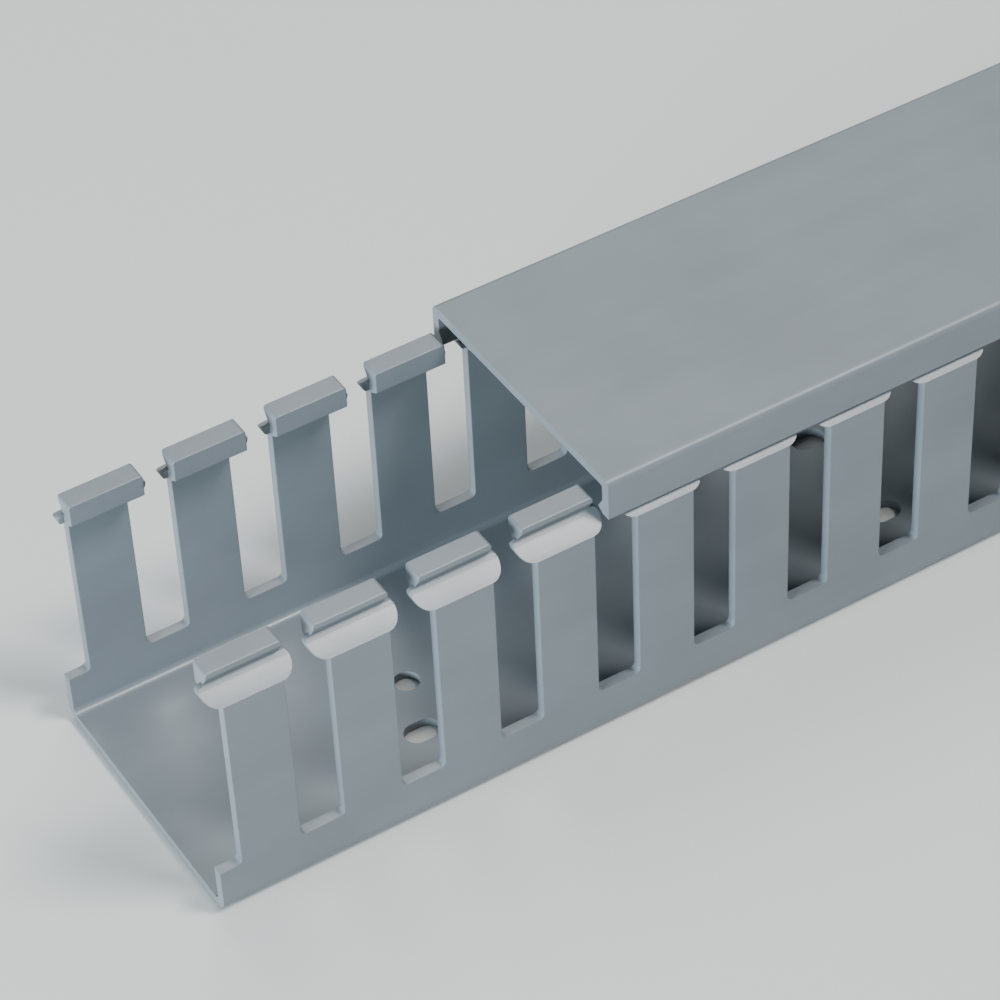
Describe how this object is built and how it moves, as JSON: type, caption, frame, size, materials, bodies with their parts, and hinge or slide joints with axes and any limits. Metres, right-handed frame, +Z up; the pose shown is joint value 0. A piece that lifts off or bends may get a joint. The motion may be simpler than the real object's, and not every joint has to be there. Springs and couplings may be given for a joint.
{
  "type": "slotted wire duct",
  "caption": "Rigid plastic wiring channel with slotted side walls, hooked finger heads and a clip-on cover that slides along them.",
  "frame": {"origin": "Middle of the duct's base underside: halfway along the duct and across it.", "axes": "+X runs along the duct towards the end the cover hangs over, +Y across it, +Z up out of the channel."},
  "size_m": [1.0787, 0.0568, 0.0578],
  "materials": {
    "duct_plastic": "satin blue-grey rigid plastic, faintly mottled",
    "cover_plastic": "satin blue-grey rigid plastic, faintly mottled"
  },
  "bodies": {
    "duct": {"duct": "duct_plastic"},
    "cover": {"cover": "cover_plastic"}
  },
  "joints": [
    {"name": "cover_slide", "type": "slide", "parent": "duct", "child": "cover", "axis": [1, 0, 0], "range_m": [-0.0787, 0.4213]}
  ]
}
